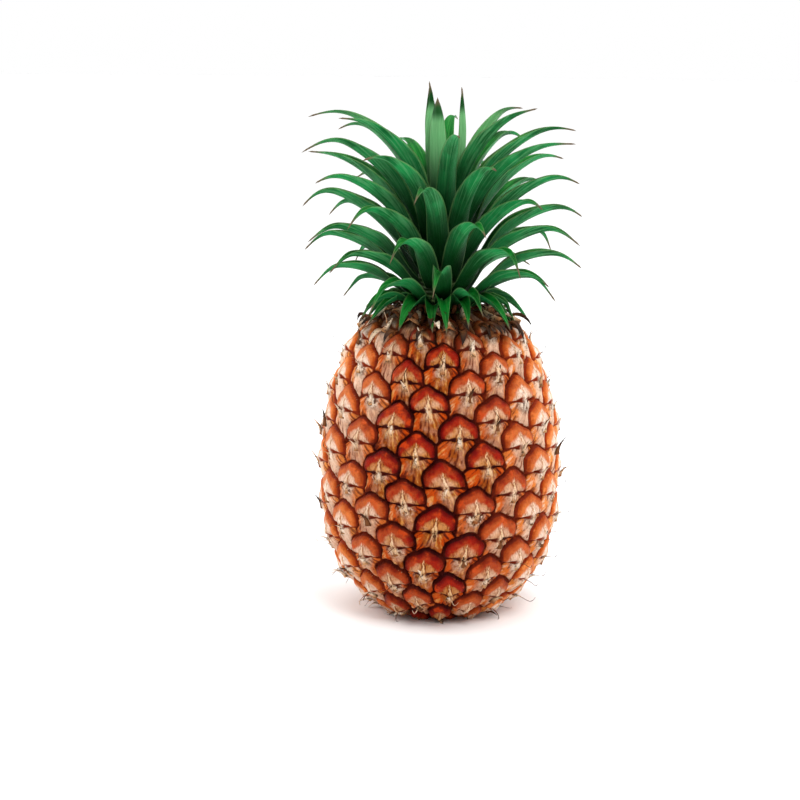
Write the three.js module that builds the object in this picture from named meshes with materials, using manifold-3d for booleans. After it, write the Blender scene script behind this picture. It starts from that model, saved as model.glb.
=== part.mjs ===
// A whole pineapple, standing on its base: one fruit of fused eyes, the cut stub of the stalk that
// it grew on, and a crown of separate leaves around a short stem.
// Millimetres and degrees, +Z up, with the origin at the middle of the flat spot that it stands on.

import * as THREE from "three";
import { mergeVertices } from "three/addons/utils/BufferGeometryUtils.js";
import Module from "manifold-3d";

const wasm = await Module();
wasm.setup();

// ---------------------------------------------------------------------------------------------
// Driving sizes
// ---------------------------------------------------------------------------------------------

const TOUCH_GAP = 0.3; // clearance between two pieces that touch

// The fruit: its skin is measured midway between the tops of the eyes and the grooves.
const FRUIT_RADIUS = 58.6;
const FRUIT_HEIGHT = 151.5; // from the flat spot to the seat of the crown
const WIDEST_HEIGHT = 74.5;
const FOOT_RADIUS = 23; // of the flat spot
const SHOULDER_RADIUS = 40.3; // where the side turns in towards the crown
const SHOULDER_DROP = 10.8; // from the seat of the crown down to that turn
const SEAT_RADIUS = 15; // of the small flat that the crown grows on
const SEAT_DOME = 2; // how much the shoulder still climbs beside the seat
const UPPER_FULLNESS = 2.07; // 2 gives an ellipse, and more gives a squarer side
const LOWER_FULLNESS = 2.72;

// The eyes follow one spiral up the skin, each a fixed turn and a fixed length of skin after the last.
const EYE_TURN = 137.4;
const EYE_RISE = 1.0463;
const FIRST_EYE_TURN = 331.6; // azimuth of the lowest eye
const FIRST_EYE_ARC = 0.37; // its place on the skin, from the pole of the base
const EYE_TOP_LIFT = 2.4; // of the middle of an eye above the skin line
const EYE_PAD_LIFT = 1.3; // of the raised pad around it
const EYE_PAD_SHARE = 0.7; // how far the pad reaches from the middle towards the groove
const GROOVE_DEPTH = 1.9;

// The stalk is cut level with the flat spot.
const STALK_RADIUS = 12;
const STALK_DEPTH = 9;

// The crown's stem tapers to a growing point among the youngest leaves.
const STEM_RADIUS = 12.5;
const STEM_HEIGHT = 44; // above the seat
const STEM_ROOT = 4; // below the seat

// The crown's leaves, counted from the lowest, outermost one to the youngest one in the middle.
const LEAF_COUNT = 57;
const LEAF_TURN = -137.5; // from one leaf to the next one up
const FIRST_LEAF_TURN = 344.5;
const LOWEST_TIP = -1; // heights of the leaf tips over the seat
const HIGHEST_TIP = 114;
const CROWN_REACH = 68.4; // of the leaf tips from the axis, where the crown is widest
const CROWN_WAIST = 49.5; // height over the seat where it is widest
const CROWN_SPAN_ABOVE = 75.9; // from there to where the curve through the tips closes, upwards
const CROWN_SPAN_BELOW = 53; // and downwards
const CROWN_FULLNESS_ABOVE = 4.5;
const CROWN_FULLNESS_BELOW = 3.1;
const LOWEST_LEAN = 57; // of a leaf's root from upright
const YOUNGEST_LEAN = 7.5;
const LOWEST_ARCH = 0.8; // how far along its reach a leaf holds its first direction
const YOUNGEST_ARCH = 0.57;
const LEAN_EASE = 1.28; // above 1, the lower leaves stay nearer the lowest one's lean
const ROOT_CROWDING = 1.3; // above 1, the leaves are rooted closer together near the seat
const HEART_AGES = [0.915, 0.945]; // the ages between which leaves draw in to stand round the axis
const HEART_BULGE = 12; // how many degrees more the leaves of the heart lean out, to close like a bud
const HEART_TIP_RADIUS = 5; // of the youngest leaf's tip from the axis
const HEART_SPREAD = 180; // how much further out the older tips of the heart are, per unit of age
const LEAF_HALF_WIDTHS = [6.5, 8, 9.5, 9.5, 7.5, 6]; // from the lowest leaf to the youngest one
const LEAF_WIDTH_AGES = [0, 0.15, 0.4, 0.75, 0.9, 1]; // the ages, 0 lowest and 1 youngest, of those
const LEAF_THICKNESS = 1;
const LEAF_TAPER = 2.4; // above 1, a leaf keeps its width further towards its tip
const HEART_TAPER = 4; // the leaves of the heart keep it longest
const LEAF_CHANNEL = 0.8; // lift of the margins over the midrib, as a share of the half width
const HEART_CHANNEL = 0.35; // the leaves of the heart are flatter
const LEAF_CLASP = 42; // most that half a leaf wraps round the stem
const YOUNGEST_CLASP = 62;
const LEAF_SEED = 8;
const TURN_SCATTER = 2.2;
const SWEEP_SCATTER = 5; // sideways, at the tip
const TIP_SCATTER = 2;

// How finely the curves are stepped.
const OUTLINE_STEPS = 90;
const SHOULDER_STEPS = 24;
const ROUND_STEPS = 32;
const STEM_STEPS = 12;
const LEAF_STATIONS = [0, 0.12, 0.26, 0.42, 0.58, 0.74, 0.89, 1];
const LEAF_COLUMNS = [-1, -0.5, 0, 0.5, 1];

// ---------------------------------------------------------------------------------------------
// Solids
// ---------------------------------------------------------------------------------------------

const radians = THREE.MathUtils.degToRad;
const smooth = THREE.MathUtils.smoothstep;
const mix = THREE.MathUtils.lerp;

// A closed geometry with shared vertices and no collapsed triangles, as a solid to join or cut.
function solidOf(geometry) {
  const bare = geometry.clone();
  bare.deleteAttribute("normal");
  bare.deleteAttribute("uv");
  const merged = mergeVertices(bare, 1e-4);
  const corners = merged.index.array;
  const kept = [];
  for (let i = 0; i < corners.length; i += 3) {
    const [a, b, c] = corners.subarray(i, i + 3);
    if (a !== b && b !== c && c !== a) kept.push(a, b, c);
  }
  return new wasm.Manifold(
    new wasm.Mesh({
      numProp: 3,
      vertProperties: new Float32Array(merged.attributes.position.array),
      triVerts: new Uint32Array(kept),
    }),
  );
}

// The way back, from a solid to a geometry that can be drawn.
function geometryOf(solid) {
  const mesh = solid.getMesh();
  const geometry = new THREE.BufferGeometry();
  const positions = new Float32Array(mesh.numVert * 3);
  for (let i = 0; i < mesh.numVert; i++) {
    const start = i * mesh.numProp;
    positions.set(mesh.vertProperties.subarray(start, start + 3), i * 3);
  }
  geometry.setAttribute("position", new THREE.BufferAttribute(positions, 3));
  geometry.setIndex(new THREE.BufferAttribute(mesh.triVerts, 1));
  geometry.computeVertexNormals();
  return geometry;
}

// An upright round bar between two heights, as a solid.
function bar(radius, low, high) {
  const geometry = new THREE.CylinderGeometry(radius, radius, high - low, ROUND_STEPS);
  geometry.rotateX(Math.PI / 2);
  geometry.translate(0, 0, (low + high) / 2);
  return solidOf(geometry);
}

// A geometry from a list of points and a list of triangles.
function geometryFrom(points, triangles) {
  const geometry = new THREE.BufferGeometry().setFromPoints(points);
  geometry.setIndex(triangles);
  return geometry;
}

// ---------------------------------------------------------------------------------------------
// The fruit
// ---------------------------------------------------------------------------------------------

// Where a superellipse quarter of the fruit's side has shrunk to a given radius, as a share of its span.
function shareAtRadius(radius, fullness) {
  return (1 - (radius / FRUIT_RADIUS) ** 2) ** (1 / fullness);
}

// The fruit's outline as (radius, height) points from the pole of the base to the axis at the top:
// two superellipse quarters that meet at the widest height, then the shoulder as one bend.
function fruitOutline() {
  const lowerSpan = WIDEST_HEIGHT / shareAtRadius(FOOT_RADIUS, LOWER_FULLNESS);
  const shoulderHeight = FRUIT_HEIGHT - SHOULDER_DROP;
  const shoulderShare = shareAtRadius(SHOULDER_RADIUS, UPPER_FULLNESS);
  const upperSpan = (shoulderHeight - WIDEST_HEIGHT) / shoulderShare;
  const sideRadius = (share, fullness) => FRUIT_RADIUS * Math.sqrt(1 - share ** fullness);

  const points = [];
  for (let i = 0; i <= OUTLINE_STEPS; i++) {
    const share = Math.cos((i / OUTLINE_STEPS) * (Math.PI / 2));
    points.push(new THREE.Vector2(sideRadius(share, LOWER_FULLNESS), WIDEST_HEIGHT - lowerSpan * share));
  }
  for (let i = 1; i <= OUTLINE_STEPS; i++) {
    const share = shoulderShare * Math.sin((i / OUTLINE_STEPS) * (Math.PI / 2));
    points.push(new THREE.Vector2(sideRadius(share, UPPER_FULLNESS), WIDEST_HEIGHT + upperSpan * share));
  }

  // The shoulder leaves the side along its tangent and reaches the seat almost level.
  const slope =
    (-FRUIT_RADIUS * UPPER_FULLNESS * shoulderShare ** (UPPER_FULLNESS - 1)) /
    (2 * upperSpan * Math.sqrt(1 - shoulderShare ** UPPER_FULLNESS));
  const climb = SHOULDER_DROP - SEAT_DOME;
  const shoulder = new THREE.QuadraticBezierCurve(
    new THREE.Vector2(SHOULDER_RADIUS, shoulderHeight),
    new THREE.Vector2(SHOULDER_RADIUS + slope * climb, shoulderHeight + climb),
    new THREE.Vector2(SEAT_RADIUS, FRUIT_HEIGHT),
  );
  points.push(...shoulder.getPoints(SHOULDER_STEPS).slice(1));
  points.push(new THREE.Vector2(0, FRUIT_HEIGHT));
  return points;
}

const outline = fruitOutline();
const outlineArcs = [0];
for (let i = 1; i < outline.length; i++) {
  outlineArcs.push(outlineArcs[i - 1] + outline[i].distanceTo(outline[i - 1]));
}
const skinLength = outlineArcs.at(-1);

// The point of the fruit at a length of skin from the pole of the base and an azimuth, lifted
// straight out of the skin. Past either end of the skin it stays on the axis.
function skinPoint(arc, azimuth, lift) {
  const place = Math.min(Math.max(arc, 0), skinLength);
  let i = 1;
  while (i < outline.length - 1 && outlineArcs[i] < place) i++;
  const along = (place - outlineArcs[i - 1]) / (outlineArcs[i] - outlineArcs[i - 1]);
  const point = outline[i - 1].clone().lerp(outline[i], along);
  const tangent = outline[i].clone().sub(outline[i - 1]).normalize();

  // The lift fades to nothing towards the flat spot and towards the seat of the crown.
  const bare = point.y > WIDEST_HEIGHT ? SEAT_RADIUS : FOOT_RADIUS;
  const fade = smooth(point.x, bare, bare + EYE_TOP_LIFT + GROOVE_DEPTH);
  const radius = point.x + tangent.y * lift * fade;
  const height = point.y - tangent.x * lift * fade;
  return new THREE.Vector3(radius * Math.cos(azimuth), radius * Math.sin(azimuth), height);
}

// The eyes make a net of triangles: each touches the ones 8, 13 and 21 places on in the spiral.
const [RIGHT_STEP, LEFT_STEP] = [8, 13];
const UP_STEP = RIGHT_STEP + LEFT_STEP;

// The turn, in degrees between -180 and 180, from one eye to another that is some places on.
const turnOver = (steps) => THREE.MathUtils.euclideanModulo(steps * EYE_TURN + 180, 360) - 180;

// The six corners of an eye, each the middle of a triangle of the net, as a turn and a length of
// skin from the eye's middle. They run counter-clockwise as seen from outside.
function eyeCorners() {
  const middleOf = (step) => ({
    turn: (turnOver(step) + turnOver(UP_STEP)) / 3,
    rise: ((step + UP_STEP) / 3) * EYE_RISE,
  });
  const shifted = (corner, steps) => ({
    turn: corner.turn - turnOver(steps),
    rise: corner.rise - steps * EYE_RISE,
  });
  const right = middleOf(RIGHT_STEP);
  const left = middleOf(LEFT_STEP);
  return [
    shifted(left, LEFT_STEP),
    right,
    left,
    shifted(right, RIGHT_STEP),
    shifted(left, UP_STEP),
    shifted(right, UP_STEP),
  ];
}

// The whole skin as one closed surface: each eye is a raised pad with a higher middle, and
// neighbouring eyes share the corners of the groove between them.
function fruitSkin() {
  const corners = eyeCorners();
  const points = [];
  const triangles = [];
  const lastEye = Math.ceil((skinLength - FIRST_EYE_ARC) / EYE_RISE) + UP_STEP;
  for (let eye = -UP_STEP; eye <= lastEye; eye++) {
    const azimuth = FIRST_EYE_TURN + eye * EYE_TURN;
    const arc = FIRST_EYE_ARC + eye * EYE_RISE;
    const spot = (corner, share, lift) =>
      skinPoint(arc + corner.rise * share, radians(azimuth + corner.turn * share), lift);
    const middle = points.push(spot(corners[0], 0, EYE_TOP_LIFT)) - 1;
    for (const corner of corners) {
      points.push(spot(corner, EYE_PAD_SHARE, EYE_PAD_LIFT), spot(corner, 1, -GROOVE_DEPTH));
    }
    for (let side = 0; side < corners.length; side++) {
      const pad = middle + 1 + 2 * side;
      const nextPad = middle + 1 + 2 * ((side + 1) % corners.length);
      triangles.push(middle, pad, nextPad);
      triangles.push(pad, pad + 1, nextPad + 1);
      triangles.push(pad, nextPad + 1, nextPad);
    }
  }
  return solidOf(geometryFrom(points, triangles));
}

// The fruit is cut off flat underneath, and holds a socket for the stalk and one for the crown's stem.
function fruitGeometry() {
  const room = FRUIT_RADIUS + EYE_TOP_LIFT;
  const ground = new THREE.BoxGeometry(4 * room, 4 * room, 2 * room);
  ground.translate(0, 0, -room);
  const stalkSocket = bar(STALK_RADIUS + TOUCH_GAP, -STALK_DEPTH, STALK_DEPTH + TOUCH_GAP);
  const stemSocket = bar(STEM_RADIUS + TOUCH_GAP, FRUIT_HEIGHT - STEM_ROOT - TOUCH_GAP, FRUIT_HEIGHT + STEM_ROOT);
  return geometryOf(fruitSkin().subtract(solidOf(ground)).subtract(stalkSocket).subtract(stemSocket));
}

// ---------------------------------------------------------------------------------------------
// The stalk and the crown's stem
// ---------------------------------------------------------------------------------------------

const stalkGeometry = () => geometryOf(bar(STALK_RADIUS, 0, STALK_DEPTH));

// The stem's side is a quarter of an ellipse, from the seat to the growing point on the axis.
function stemPoint(quarter) {
  const angle = quarter * (Math.PI / 2);
  return new THREE.Vector2(STEM_RADIUS * Math.cos(angle), FRUIT_HEIGHT + STEM_HEIGHT * Math.sin(angle));
}

function stemGeometry() {
  const root = FRUIT_HEIGHT - STEM_ROOT;
  const profile = [new THREE.Vector2(0, root), new THREE.Vector2(STEM_RADIUS, root)];
  for (let i = 0; i < STEM_STEPS; i++) profile.push(stemPoint(i / STEM_STEPS));
  profile.push(new THREE.Vector2(0, FRUIT_HEIGHT + STEM_HEIGHT));
  const geometry = new THREE.LatheGeometry(profile, ROUND_STEPS);
  geometry.rotateX(Math.PI / 2);
  return geometryOf(solidOf(geometry));
}

// ---------------------------------------------------------------------------------------------
// The crown's leaves
// ---------------------------------------------------------------------------------------------

// A number between -1 and 1 that is always the same for one leaf and one use.
function scatter(leaf, use) {
  const value = Math.sin(leaf * 12.9898 + (LEAF_SEED + use) * 78.233) * 43758.5453;
  return 2 * (value - Math.floor(value)) - 1;
}

// A value that changes with a leaf's age along straight lines between the stated ages.
function atAge(age, ages, values) {
  let i = 1;
  while (i < ages.length - 1 && ages[i] < age) i++;
  return mix(values[i - 1], values[i], (age - ages[i - 1]) / (ages[i] - ages[i - 1]));
}

// Leaves are rooted at even steps along the stem's side. This gives the root of the leaf of an age,
// clear of the stem, as a (radius, height) point.
const stemSide = new THREE.Path(
  Array.from({ length: 4 * ROUND_STEPS + 1 }, (_, i) => stemPoint(i / (4 * ROUND_STEPS))),
);
const [LOWEST_ROOT, YOUNGEST_ROOT] = [0.03, 0.97]; // shares of the stem's side
function leafRoot(age) {
  const share = mix(LOWEST_ROOT, YOUNGEST_ROOT, age ** ROOT_CROWDING);
  const tangent = stemSide.getTangentAt(share);
  const clear = 2 * TOUCH_GAP + LEAF_THICKNESS / 2;
  return stemSide.getPointAt(share).add(new THREE.Vector2(tangent.y, -tangent.x).multiplyScalar(clear));
}

// How far a leaf of an age belongs to the heart, from 0 to 1.
const heartShare = (age) => smooth(age, ...HEART_AGES);

// Leaf tips lie on a rounded curve round the crown, except that the youngest leaves stand close
// around the axis.
function leafTip(leaf, age) {
  const evenHeight = mix(LOWEST_TIP, HIGHEST_TIP, age);
  const above = evenHeight > CROWN_WAIST;
  const span = above ? CROWN_SPAN_ABOVE : CROWN_SPAN_BELOW;
  const fullness = above ? CROWN_FULLNESS_ABOVE : CROWN_FULLNESS_BELOW;
  const share = Math.min(Math.abs(evenHeight - CROWN_WAIST) / span, 1);
  const reach = CROWN_REACH * (1 - share ** fullness) ** (1 / fullness);
  const upright = HEART_TIP_RADIUS + HEART_SPREAD * (1 - age);
  const gathered = mix(reach, upright, heartShare(age));
  return new THREE.Vector2(
    gathered + scatter(leaf, 2) * TIP_SCATTER * Math.min(1, 3 * (1 - age)),
    FRUIT_HEIGHT + evenHeight + scatter(leaf, 3) * TIP_SCATTER,
  );
}

// A leaf's midrib is one bend in an upright plane through the axis. The bends of all the leaves nest
// inside one another, so a leaf can turn about the axis without meeting the next ones.
function midrib(leaf, age) {
  const root = leafRoot(age);
  const tip = leafTip(leaf, age);
  const lean = radians(mix(LOWEST_LEAN, YOUNGEST_LEAN, age ** LEAN_EASE) + HEART_BULGE * heartShare(age));
  const hold = mix(LOWEST_ARCH, YOUNGEST_ARCH, age) * root.distanceTo(tip);
  const bend = new THREE.Vector2(root.x + hold * Math.sin(lean), root.y + hold * Math.cos(lean));
  return new THREE.QuadraticBezierCurve(root, bend, tip);
}

// A leaf is laid on the surface that its midrib sweeps round the axis, so its base clasps the stem.
// It tapers to a point, is thickest along the midrib, and its margins rise to make a channel.
function leafGeometry(leaf) {
  const age = leaf / (LEAF_COUNT - 1);
  const rib = midrib(leaf, age);
  const facing = radians(FIRST_LEAF_TURN + LEAF_TURN * leaf + TURN_SCATTER * scatter(leaf, 0));
  const sweep = radians(SWEEP_SCATTER * scatter(leaf, 5));
  const clasp = radians(mix(LEAF_CLASP, YOUNGEST_CLASP, age ** 4));
  const fullHalfWidth = atAge(age, LEAF_WIDTH_AGES, LEAF_HALF_WIDTHS);
  const taper = mix(LEAF_TAPER, HEART_TAPER, heartShare(age));
  const fullChannel = mix(LEAF_CHANNEL, HEART_CHANNEL, heartShare(age));

  const points = [];
  const triangles = [];
  const last = LEAF_STATIONS.length - 1;
  for (const along of LEAF_STATIONS.slice(0, last)) {
    const middle = rib.getPoint(along);
    const tangent = rib.getTangent(along);
    const halfWidth = fullHalfWidth * (1 - along ** taper) * (0.82 + 0.18 * Math.min(along / 0.25, 1));
    const halfTurn = clasp * (1 - Math.exp(-halfWidth / (middle.x * clasp)));
    const channel = fullChannel * halfWidth * smooth(along, 0.05, 0.45);
    const spot = (column, side) => {
      const lift = channel * column ** 2 + (side * LEAF_THICKNESS * (1 - column ** 2)) / 2;
      const radius = middle.x - tangent.y * lift;
      const azimuth = facing + sweep * along ** 2 + column * halfTurn;
      return new THREE.Vector3(
        radius * Math.cos(azimuth),
        radius * Math.sin(azimuth),
        middle.y + tangent.x * lift,
      );
    };
    // One ring round the leaf: over its upper side, then back under its lower side.
    for (const column of LEAF_COLUMNS) points.push(spot(column, 1));
    for (const column of LEAF_COLUMNS.slice(1, -1).reverse()) points.push(spot(column, -1));
  }
  const tip = rib.getPoint(1);
  const tipAzimuth = facing + sweep;
  points.push(new THREE.Vector3(tip.x * Math.cos(tipAzimuth), tip.x * Math.sin(tipAzimuth), tip.y));

  // Both sides are split into triangles along the same diagonals.
  const ring = 2 * LEAF_COLUMNS.length - 2;
  const across = LEAF_COLUMNS.length - 1;
  for (let station = 0; station < last; station++) {
    for (let k = 0; k < ring; k++) {
      const here = station * ring + k;
      const beside = station * ring + ((k + 1) % ring);
      if (station === last - 1) {
        triangles.push(here, points.length - 1, beside);
      } else if (k < across) {
        triangles.push(here, here + ring, beside + ring);
        triangles.push(here, beside + ring, beside);
      } else {
        triangles.push(here, here + ring, beside);
        triangles.push(beside, here + ring, beside + ring);
      }
    }
  }
  // The cut end at the root is closed across its width.
  for (let k = 1; k < across; k++) {
    triangles.push(k, k + 1, ring - k);
    if (k > 1) triangles.push(k, ring - k, ring - k + 1);
  }
  triangles.push(0, 1, ring - 1);
  return geometryFrom(points, triangles);
}

// ---------------------------------------------------------------------------------------------
// Assembly
// ---------------------------------------------------------------------------------------------

function piece(name, geometry, colour, roughness) {
  const material = new THREE.MeshStandardMaterial({ color: colour, roughness, metalness: 0 });
  const mesh = new THREE.Mesh(geometry, material);
  mesh.name = name;
  return mesh;
}

const pineapple = new THREE.Group();
pineapple.add(piece("fruit", fruitGeometry(), 0xc4562a, 0.55));
pineapple.add(piece("cut_stalk", stalkGeometry(), 0xb99b6a, 0.85));

const crown = new THREE.Group();
crown.add(piece("crown_stem", stemGeometry(), 0xc3cf9a, 0.7));
for (let leaf = 0; leaf < LEAF_COUNT; leaf++) {
  const name = `leaf_${String(leaf + 1).padStart(2, "0")}`;
  crown.add(piece(name, leafGeometry(leaf), 0x3f8a55, 0.45));
}
pineapple.add(crown);

export default pineapple;
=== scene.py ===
"""A whole pineapple standing on its base: the fruit of fused eyes with their dry beaks, the stalk stub
that it was cut from, and a crown of channelled leaves round a short stem. Sizes of the fruit and
its crown are in millimetres and turns in degrees, and every mesh is scaled to metres once."""

from math import cos, radians, sin

import bpy
import numpy as np
from mathutils import Matrix, Vector


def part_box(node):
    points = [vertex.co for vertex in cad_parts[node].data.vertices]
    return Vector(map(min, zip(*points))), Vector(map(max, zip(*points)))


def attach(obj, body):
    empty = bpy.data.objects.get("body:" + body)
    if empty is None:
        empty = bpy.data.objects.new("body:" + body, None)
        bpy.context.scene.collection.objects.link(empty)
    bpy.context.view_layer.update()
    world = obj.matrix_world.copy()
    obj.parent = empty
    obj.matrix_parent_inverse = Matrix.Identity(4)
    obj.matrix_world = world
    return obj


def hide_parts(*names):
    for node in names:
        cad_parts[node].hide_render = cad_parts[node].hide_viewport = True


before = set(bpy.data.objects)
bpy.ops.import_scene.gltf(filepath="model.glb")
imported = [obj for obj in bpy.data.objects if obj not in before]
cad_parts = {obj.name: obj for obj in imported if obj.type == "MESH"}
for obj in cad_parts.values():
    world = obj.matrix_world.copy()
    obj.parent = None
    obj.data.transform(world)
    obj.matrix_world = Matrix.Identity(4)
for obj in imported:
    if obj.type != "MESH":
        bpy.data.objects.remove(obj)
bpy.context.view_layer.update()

# ---------------------------------------------------------------------------------------------
# The fruit. One body of fused eyes on a barrel: each eye is a waxy dome of sepals over a straight
# crease, and under the crease lies the fibrous bract that it grew behind. The eyes follow one
# spiral up the skin, and dark grooves part them.
# ---------------------------------------------------------------------------------------------

METRES_PER_MM = 0.001
FRUIT_RADIUS = 58.6
FRUIT_HEIGHT = 151.5
WIDEST_HEIGHT = 74.5
FOOT_RADIUS = 23
SHOULDER_RADIUS = 40.3
SHOULDER_DROP = 10.8
SEAT_RADIUS = 15
SEAT_DOME = 2
UPPER_FULLNESS = 2.07
LOWER_FULLNESS = 2.72
LIFT_FADE = 4.3
STALK_SOCKET_RADIUS = 12.3
STALK_SOCKET_HEIGHT = 9.3
STEM_SOCKET_RADIUS = 12.8
STEM_SOCKET_DEPTH = 4.3
SIDE_POINTS = 400
SHOULDER_POINTS = 100
OUTLINE_POINTS = 2400

EYE_TURN = 137.4
EYE_RISE = 1.0463
FIRST_EYE_TURN = 331.6
FIRST_EYE_ARC = 0.37
UP_STEP = 21
EYE_ARC_SCATTER = 0.6
EYE_TURN_SCATTER = 0.7
EYE_SIZES = (0.95, 1.04)
EYE_SWELLS = (0.85, 1.2)
EYE_LEAN_SCATTER = 0.22

DOME_HALF_WIDTH = 10.7
DOME_HEIGHT = 11.8
DOME_SQUARENESS = 2.0
DOME_CORNER = 0.045
DOME_UNEVENNESS = 0.035
CREASE_BEND = 0.6
BRACT_DROP = 6.0
BRACT_BREADTH = 1.2
BRACT_BORDER = 0.6
SKIN_COLUMNS = 470
SKIN_ROWS = 196


def even_points(points, count):
    """Points at even lengths along a line of (radius, height) points, with their lengths."""
    lengths = np.r_[0, np.cumsum(np.hypot(*np.diff(points, axis=0).T))]
    places = np.linspace(0, lengths[-1], count)
    return places, np.stack([np.interp(places, lengths, axis) for axis in points.T], axis=1)


def fruit_outline():
    """The fruit's side as (radius, height) points. Below and above the widest height the radius is
    that of a superellipse, R * sqrt(1 - share ** fullness), and the shoulder is one quadratic bend."""

    def share_at(radius, fullness):
        return (1 - (radius / FRUIT_RADIUS) ** 2) ** (1 / fullness)

    def side_radius(share, fullness):
        return FRUIT_RADIUS * np.sqrt(np.maximum(1 - share**fullness, 0))

    quarter = np.linspace(0, np.pi / 2, SIDE_POINTS)
    lower_share = np.cos(quarter)
    lower_span = WIDEST_HEIGHT / share_at(FOOT_RADIUS, LOWER_FULLNESS)
    lower_radius = side_radius(lower_share, LOWER_FULLNESS)
    lower = np.stack([lower_radius, WIDEST_HEIGHT - lower_span * lower_share], axis=1)

    turn_height = FRUIT_HEIGHT - SHOULDER_DROP
    turn_share = share_at(SHOULDER_RADIUS, UPPER_FULLNESS)
    upper_span = (turn_height - WIDEST_HEIGHT) / turn_share
    upper_share = turn_share * np.sin(quarter)
    upper_radius = side_radius(upper_share, UPPER_FULLNESS)
    upper = np.stack([upper_radius, WIDEST_HEIGHT + upper_span * upper_share], axis=1)

    slope = -FRUIT_RADIUS * UPPER_FULLNESS * turn_share ** (UPPER_FULLNESS - 1)
    slope /= 2 * upper_span * np.sqrt(1 - turn_share**UPPER_FULLNESS)
    climb = SHOULDER_DROP - SEAT_DOME
    start = np.array([SHOULDER_RADIUS, turn_height])
    bend = np.array([SHOULDER_RADIUS + slope * climb, turn_height + climb])
    end = np.array([SEAT_RADIUS, FRUIT_HEIGHT])
    t = np.linspace(0, 1, SHOULDER_POINTS)[:, None]
    shoulder = (1 - t) ** 2 * start + 2 * t * (1 - t) * bend + t**2 * end
    return np.concatenate([lower, upper[1:], shoulder[1:]])


OUTLINE_ARCS, OUTLINE = even_points(fruit_outline(), OUTLINE_POINTS)
OUTLINE_SLOPES = np.gradient(OUTLINE, OUTLINE_ARCS, axis=0)


def round_axis(radius, azimuth, height):
    """Points at distances from the fruit's axis, azimuths in radians and heights."""
    axes = np.broadcast_arrays(radius * np.cos(azimuth), radius * np.sin(azimuth), height)
    return np.stack(axes, axis=-1)


def smooth_step(value, low, high):
    """0 up to low, 1 from high on, and a smooth change between them."""
    share = np.clip((value - low) / (high - low), 0, 1)
    return share * share * (3 - 2 * share)


def bell(value, width):
    """1 where a value is 0, and less away from it: exp(-(value / width) ** 2)."""
    return np.exp(-((value / width) ** 2))


def skin_point(arc, azimuth, lift):
    """Points of the fruit at a length of skin from the base's pole and an azimuth in radians, lifted
    straight out of the skin. The lift fades away at the flat foot and at the seat of the crown."""
    radius = np.interp(arc, OUTLINE_ARCS, OUTLINE[:, 0])
    height = np.interp(arc, OUTLINE_ARCS, OUTLINE[:, 1])
    outward = np.interp(arc, OUTLINE_ARCS, OUTLINE_SLOPES[:, 0])
    upward = np.interp(arc, OUTLINE_ARCS, OUTLINE_SLOPES[:, 1])
    bare = np.where(height > WIDEST_HEIGHT, SEAT_RADIUS, FOOT_RADIUS)
    fade = smooth_step(radius - bare, 0, LIFT_FADE)
    lifted_height = np.maximum(height - outward * lift * fade, 0)
    return round_axis(radius + upward * lift * fade, azimuth, lifted_height)


foot_arc = np.interp(0, OUTLINE[:, 1], OUTLINE_ARCS)
seat_arc = OUTLINE_ARCS[-1]
eye_numbers = np.arange(-UP_STEP, int((seat_arc - FIRST_EYE_ARC) / EYE_RISE) + UP_STEP)
eye_chance = np.random.default_rng(7)
eye_count = len(eye_numbers)
arc_scatter = eye_chance.uniform(-EYE_ARC_SCATTER, EYE_ARC_SCATTER, eye_count)
turn_scatter = eye_chance.uniform(-EYE_TURN_SCATTER, EYE_TURN_SCATTER, eye_count)
eye_arcs = FIRST_EYE_ARC + EYE_RISE * eye_numbers + arc_scatter
eye_azimuths = np.radians(FIRST_EYE_TURN + EYE_TURN * eye_numbers + turn_scatter)
eye_sizes = eye_chance.uniform(*EYE_SIZES, eye_count)
eye_swells = eye_chance.uniform(*EYE_SWELLS, eye_count)
eye_leans = eye_chance.uniform(-EYE_LEAN_SCATTER, EYE_LEAN_SCATTER, eye_count)
eye_marks = eye_chance.uniform(0, 1, eye_count)

# Eyes are deep red on the flanks that face the camera and away from it, and turn orange and paler
# between them, towards the left and right outlines, and at the ends. The paleness towards the outlines
# is partly the fruit's own colour and partly painted sheen.
RED_FLANK = 268
MIDDLE_TONE = 0.42
REDNESS_AND_SIDE_SHEEN = 0.45
END_PALENESS = 0.14
TONE_SCATTER = 0.12
eye_heights = np.interp(eye_arcs, OUTLINE_ARCS, OUTLINE[:, 1])
eye_tones = MIDDLE_TONE - REDNESS_AND_SIDE_SHEEN * np.cos(2 * (eye_azimuths - np.radians(RED_FLANK)))
eye_tones += END_PALENESS * np.abs(eye_heights / WIDEST_HEIGHT - 1)
eye_tones += eye_chance.uniform(-TONE_SCATTER, TONE_SCATTER, eye_count)
eye_tones = np.clip(eye_tones, 0, 1)


def dome_depth(across, up, mark):
    """How far inside an eye's dome a point is, counted along the eye's width. Its edge is the arch
    |x / w| ** p + (y / h) ** p = 1, times 1 less a wave of six and plus a wave of three to a turn,
    which give it blunt corners. The eye's mark turns both waves."""
    high = np.maximum(up, 0) / DOME_HEIGHT
    wide = across / DOME_HALF_WIDTH
    ratio = (np.abs(wide) ** DOME_SQUARENESS + high**DOME_SQUARENESS) ** (1 / DOME_SQUARENESS)
    turn = np.arctan2(high, wide)
    corners = DOME_CORNER * np.cos(6 * turn + mark - 0.5)
    unevenness = DOME_UNEVENNESS * np.sin(3 * turn + 9 * mark)
    return DOME_HALF_WIDTH * (1 - corners + unevenness - ratio)


def place_in_eye(arc, azimuth, eye):
    """Where points of the skin lie from the middle of an eye's crease, across it and up from it, as
    on an eye of the even size that doesn't lean."""
    turn = np.mod(azimuth - eye_azimuths[eye] + np.pi, 2 * np.pi) - np.pi
    up = (arc - eye_arcs[eye]) / eye_sizes[eye]
    across = turn * FRUIT_RADIUS / eye_sizes[eye] - eye_leans[eye] * up
    return across, up


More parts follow.
